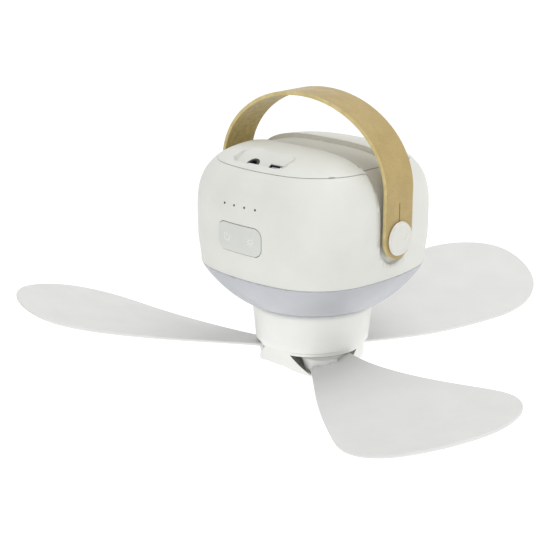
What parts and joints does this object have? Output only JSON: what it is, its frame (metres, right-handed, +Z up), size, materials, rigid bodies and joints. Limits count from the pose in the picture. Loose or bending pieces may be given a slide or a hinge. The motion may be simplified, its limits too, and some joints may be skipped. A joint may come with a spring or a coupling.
{
  "type": "hanging camping fan",
  "caption": "Portable hanging camping fan: rounded-square white housing with ring light, leather strap, and a rotor with swinging blades.",
  "frame": {"origin": "point under the top of the strap's arch that rests on a hook", "axes": "+Z up along the rotor's axis, -Y towards the key pad, +X and -X to the strap buttons"},
  "size_m": [0.3812, 0.3331, 0.18],
  "materials": {
    "leather": "smooth vegetable-tanned",
    "button_plastic": "smooth white",
    "nylon": "natural nylon",
    "steel": "zinc plated",
    "housing_white": "fine satin texture",
    "blade_white": "fine satin texture",
    "frosted": "frosted translucent",
    "ring_grey": "satin",
    "circuit_board": "solder mask",
    "led_yellow": "phosphor",
    "cell_sleeve": "shrink sleeve",
    "holder_plastic": "moulded",
    "black_plastic": "moulded",
    "light_pipe": "clear, unlit",
    "aluminium_cast": "die cast",
    "copper": "enamelled winding",
    "key_grey": "soft satin",
    "magnet": "coated"
  },
  "bodies": {
    "root": {"strap": "leather"},
    "housing": {"top_cover": "housing_white", "main_housing": "housing_white", "strap_buttons": "button_plastic", "button_washers": "nylon", "button_nuts": "steel", "light_diffuser": "frosted", "diffuser_ring": "ring_grey", "motor_neck": "housing_white", "led_board": "circuit_board", "led_chips": "led_yellow", "battery_cells": "cell_sleeve", "battery_holder": "holder_plastic", "main_board": "circuit_board", "port_board": "circuit_board", "dc_jack": "black_plastic", "usb_port": "steel", "key_board": "circuit_board", "key_switches": "black_plastic", "indicator_lights": "light_pipe", "motor_bracket": "aluminium_cast", "stator_core": "steel", "stator_coils": "copper", "bearings": "steel", "bracket_screws": "steel", "neck_screws": "steel", "housing_screws": "steel"},
    "rotor": {"motor_shaft": "steel", "motor_can": "steel", "rotor_magnets": "magnet", "shaft_clip": "steel", "blade_carrier": "housing_white", "rotor_cap": "housing_white", "blade_pins": "steel", "cap_screws": "steel", "shaft_nut": "steel"},
    "blade_1": {"blade_1": "blade_white"},
    "blade_2": {"blade_2": "blade_white"},
    "blade_3": {"blade_3": "blade_white"},
    "key_pad": {"key_pad": "key_grey"}
  },
  "joints": [
    {"name": "strap_pivot", "type": "hinge", "parent": "root", "child": "housing", "pos_m": [0, 0, -0.0799], "axis": [1, 0, 0], "range_deg": [-90, 90]},
    {"name": "rotor_spin", "type": "hinge", "parent": "housing", "child": "rotor", "pos_m": [0, 0, -0.1659], "axis": [0, 0, 1], "continuous": true},
    {"name": "blade_1_swing", "type": "hinge", "parent": "rotor", "child": "blade_1", "pos_m": [0.01993, -0.01226, -0.1689], "axis": [0, 0, 1], "range_deg": [-17, 5]},
    {"name": "blade_2_swing", "type": "hinge", "parent": "rotor", "child": "blade_2", "pos_m": [0.00065, 0.02339, -0.1689], "axis": [0, 0, 1], "range_deg": [-5, 17]},
    {"name": "blade_3_swing", "type": "hinge", "parent": "rotor", "child": "blade_3", "pos_m": [-0.02058, -0.01113, -0.1689], "axis": [0, 0, 1], "range_deg": [-8.1, 13.9]},
    {"name": "key_rock", "type": "hinge", "parent": "housing", "child": "key_pad", "pos_m": [0, -0.06405, -0.0801], "axis": [0, 0, 1], "range_deg": [-2.2, 2.2], "stiffness_Nm_per_rad": 0.6}
  ]
}
